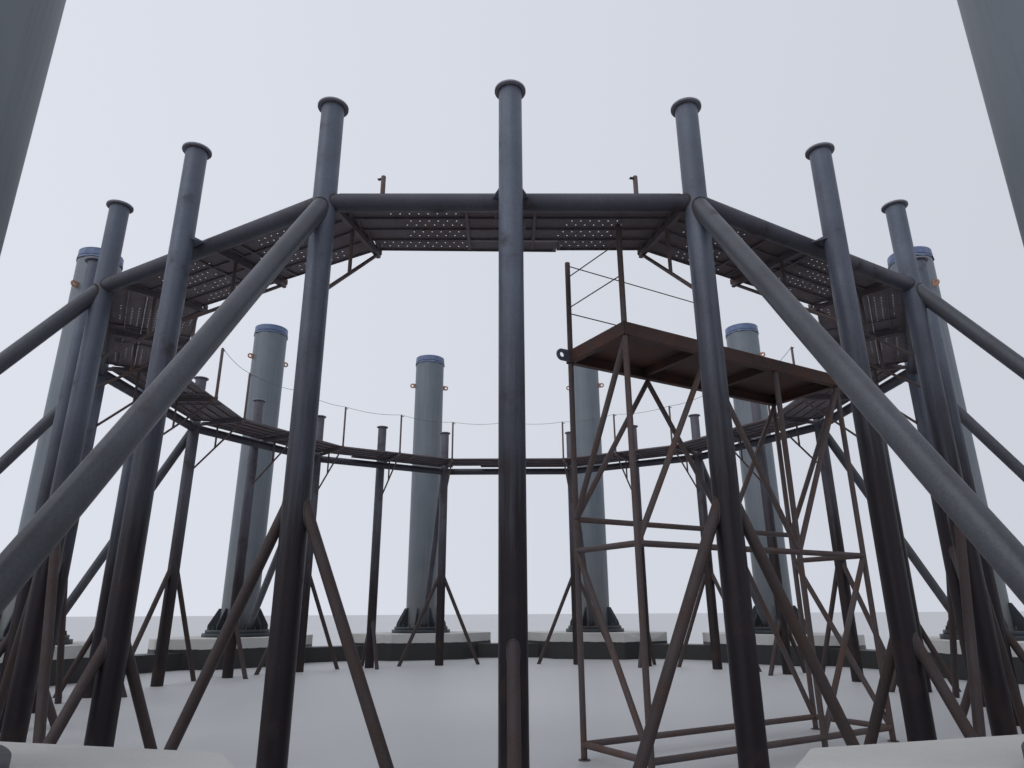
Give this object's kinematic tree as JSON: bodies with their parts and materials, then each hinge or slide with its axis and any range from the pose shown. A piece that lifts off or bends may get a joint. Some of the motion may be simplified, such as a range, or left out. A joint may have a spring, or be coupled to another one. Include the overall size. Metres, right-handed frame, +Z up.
{
  "type": "spherical gas tank under erection, with its support ring and leg columns",
  "caption": "Round erection ring of steel posts with a raised walkway, slanting rakers and a braced landing, inside a circle of painted leg columns on concrete footings",
  "frame": {"origin": "centre of the ring of posts, on the slab", "axes": "+Z up, -Y towards the viewer of the picture, +X to the viewer's right"},
  "size_m": [24.679, 24.679, 10.314],
  "materials": {
    "mill_steel": "dark mill scale with rust tints, worn",
    "deck_planks": "rusty steel planks, dark and dull",
    "rusty_steel": "thin dark paint on tube with brown rust, dull",
    "landing_steel": "red-brown rusty steel plate and channel, dull",
    "wire": "dull wire",
    "column_paint": "blue-grey primer, satin, dusty",
    "concrete": "cast concrete, bitumen-coated low on the inner faces"
  },
  "bodies": {
    "root": {"plain_post_01": "mill_steel", "raked_post_01": "mill_steel", "plain_post_02": "mill_steel", "raked_post_02": "mill_steel", "plain_post_03": "mill_steel", "raked_post_03": "mill_steel", "plain_post_04": "mill_steel", "raked_post_04": "mill_steel", "plain_post_05": "mill_steel", "raked_post_05": "mill_steel", "plain_post_06": "mill_steel", "raked_post_06": "mill_steel", "plain_post_07": "mill_steel", "raked_post_07": "mill_steel", "plain_post_08": "mill_steel", "raked_post_08": "mill_steel", "plain_post_09": "mill_steel", "raked_post_09": "mill_steel", "plain_post_10": "mill_steel", "raked_post_10": "mill_steel", "plain_post_11": "mill_steel", "raked_post_11": "mill_steel", "plain_post_12": "mill_steel", "raked_post_12": "mill_steel", "ring_beam": "mill_steel", "walkway_deck_1": "deck_planks", "walkway_deck_2": "deck_planks", "walkway_deck_3": "deck_planks", "walkway_deck_4": "deck_planks", "guard_wire": "wire", "raker_01": "mill_steel", "leg_column_01": "column_paint", "raker_02": "mill_steel", "leg_column_02": "column_paint", "raker_03": "mill_steel", "leg_column_03": "column_paint", "raker_04": "mill_steel", "leg_column_04": "column_paint", "raker_05": "mill_steel", "leg_column_05": "column_paint", "raker_06": "mill_steel", "leg_column_06": "column_paint", "raker_07": "mill_steel", "leg_column_07": "column_paint", "raker_08": "mill_steel", "leg_column_08": "column_paint", "raker_09": "mill_steel", "leg_column_09": "column_paint", "raker_10": "mill_steel", "leg_column_10": "column_paint", "raker_11": "mill_steel", "leg_column_11": "column_paint", "raker_12": "mill_steel", "leg_column_12": "column_paint", "landing_platform": "landing_steel", "landing_tower_outer_frame": "rusty_steel", "landing_tower_inner_frame": "rusty_steel", "foundation": "concrete"}
  },
  "joints": []
}
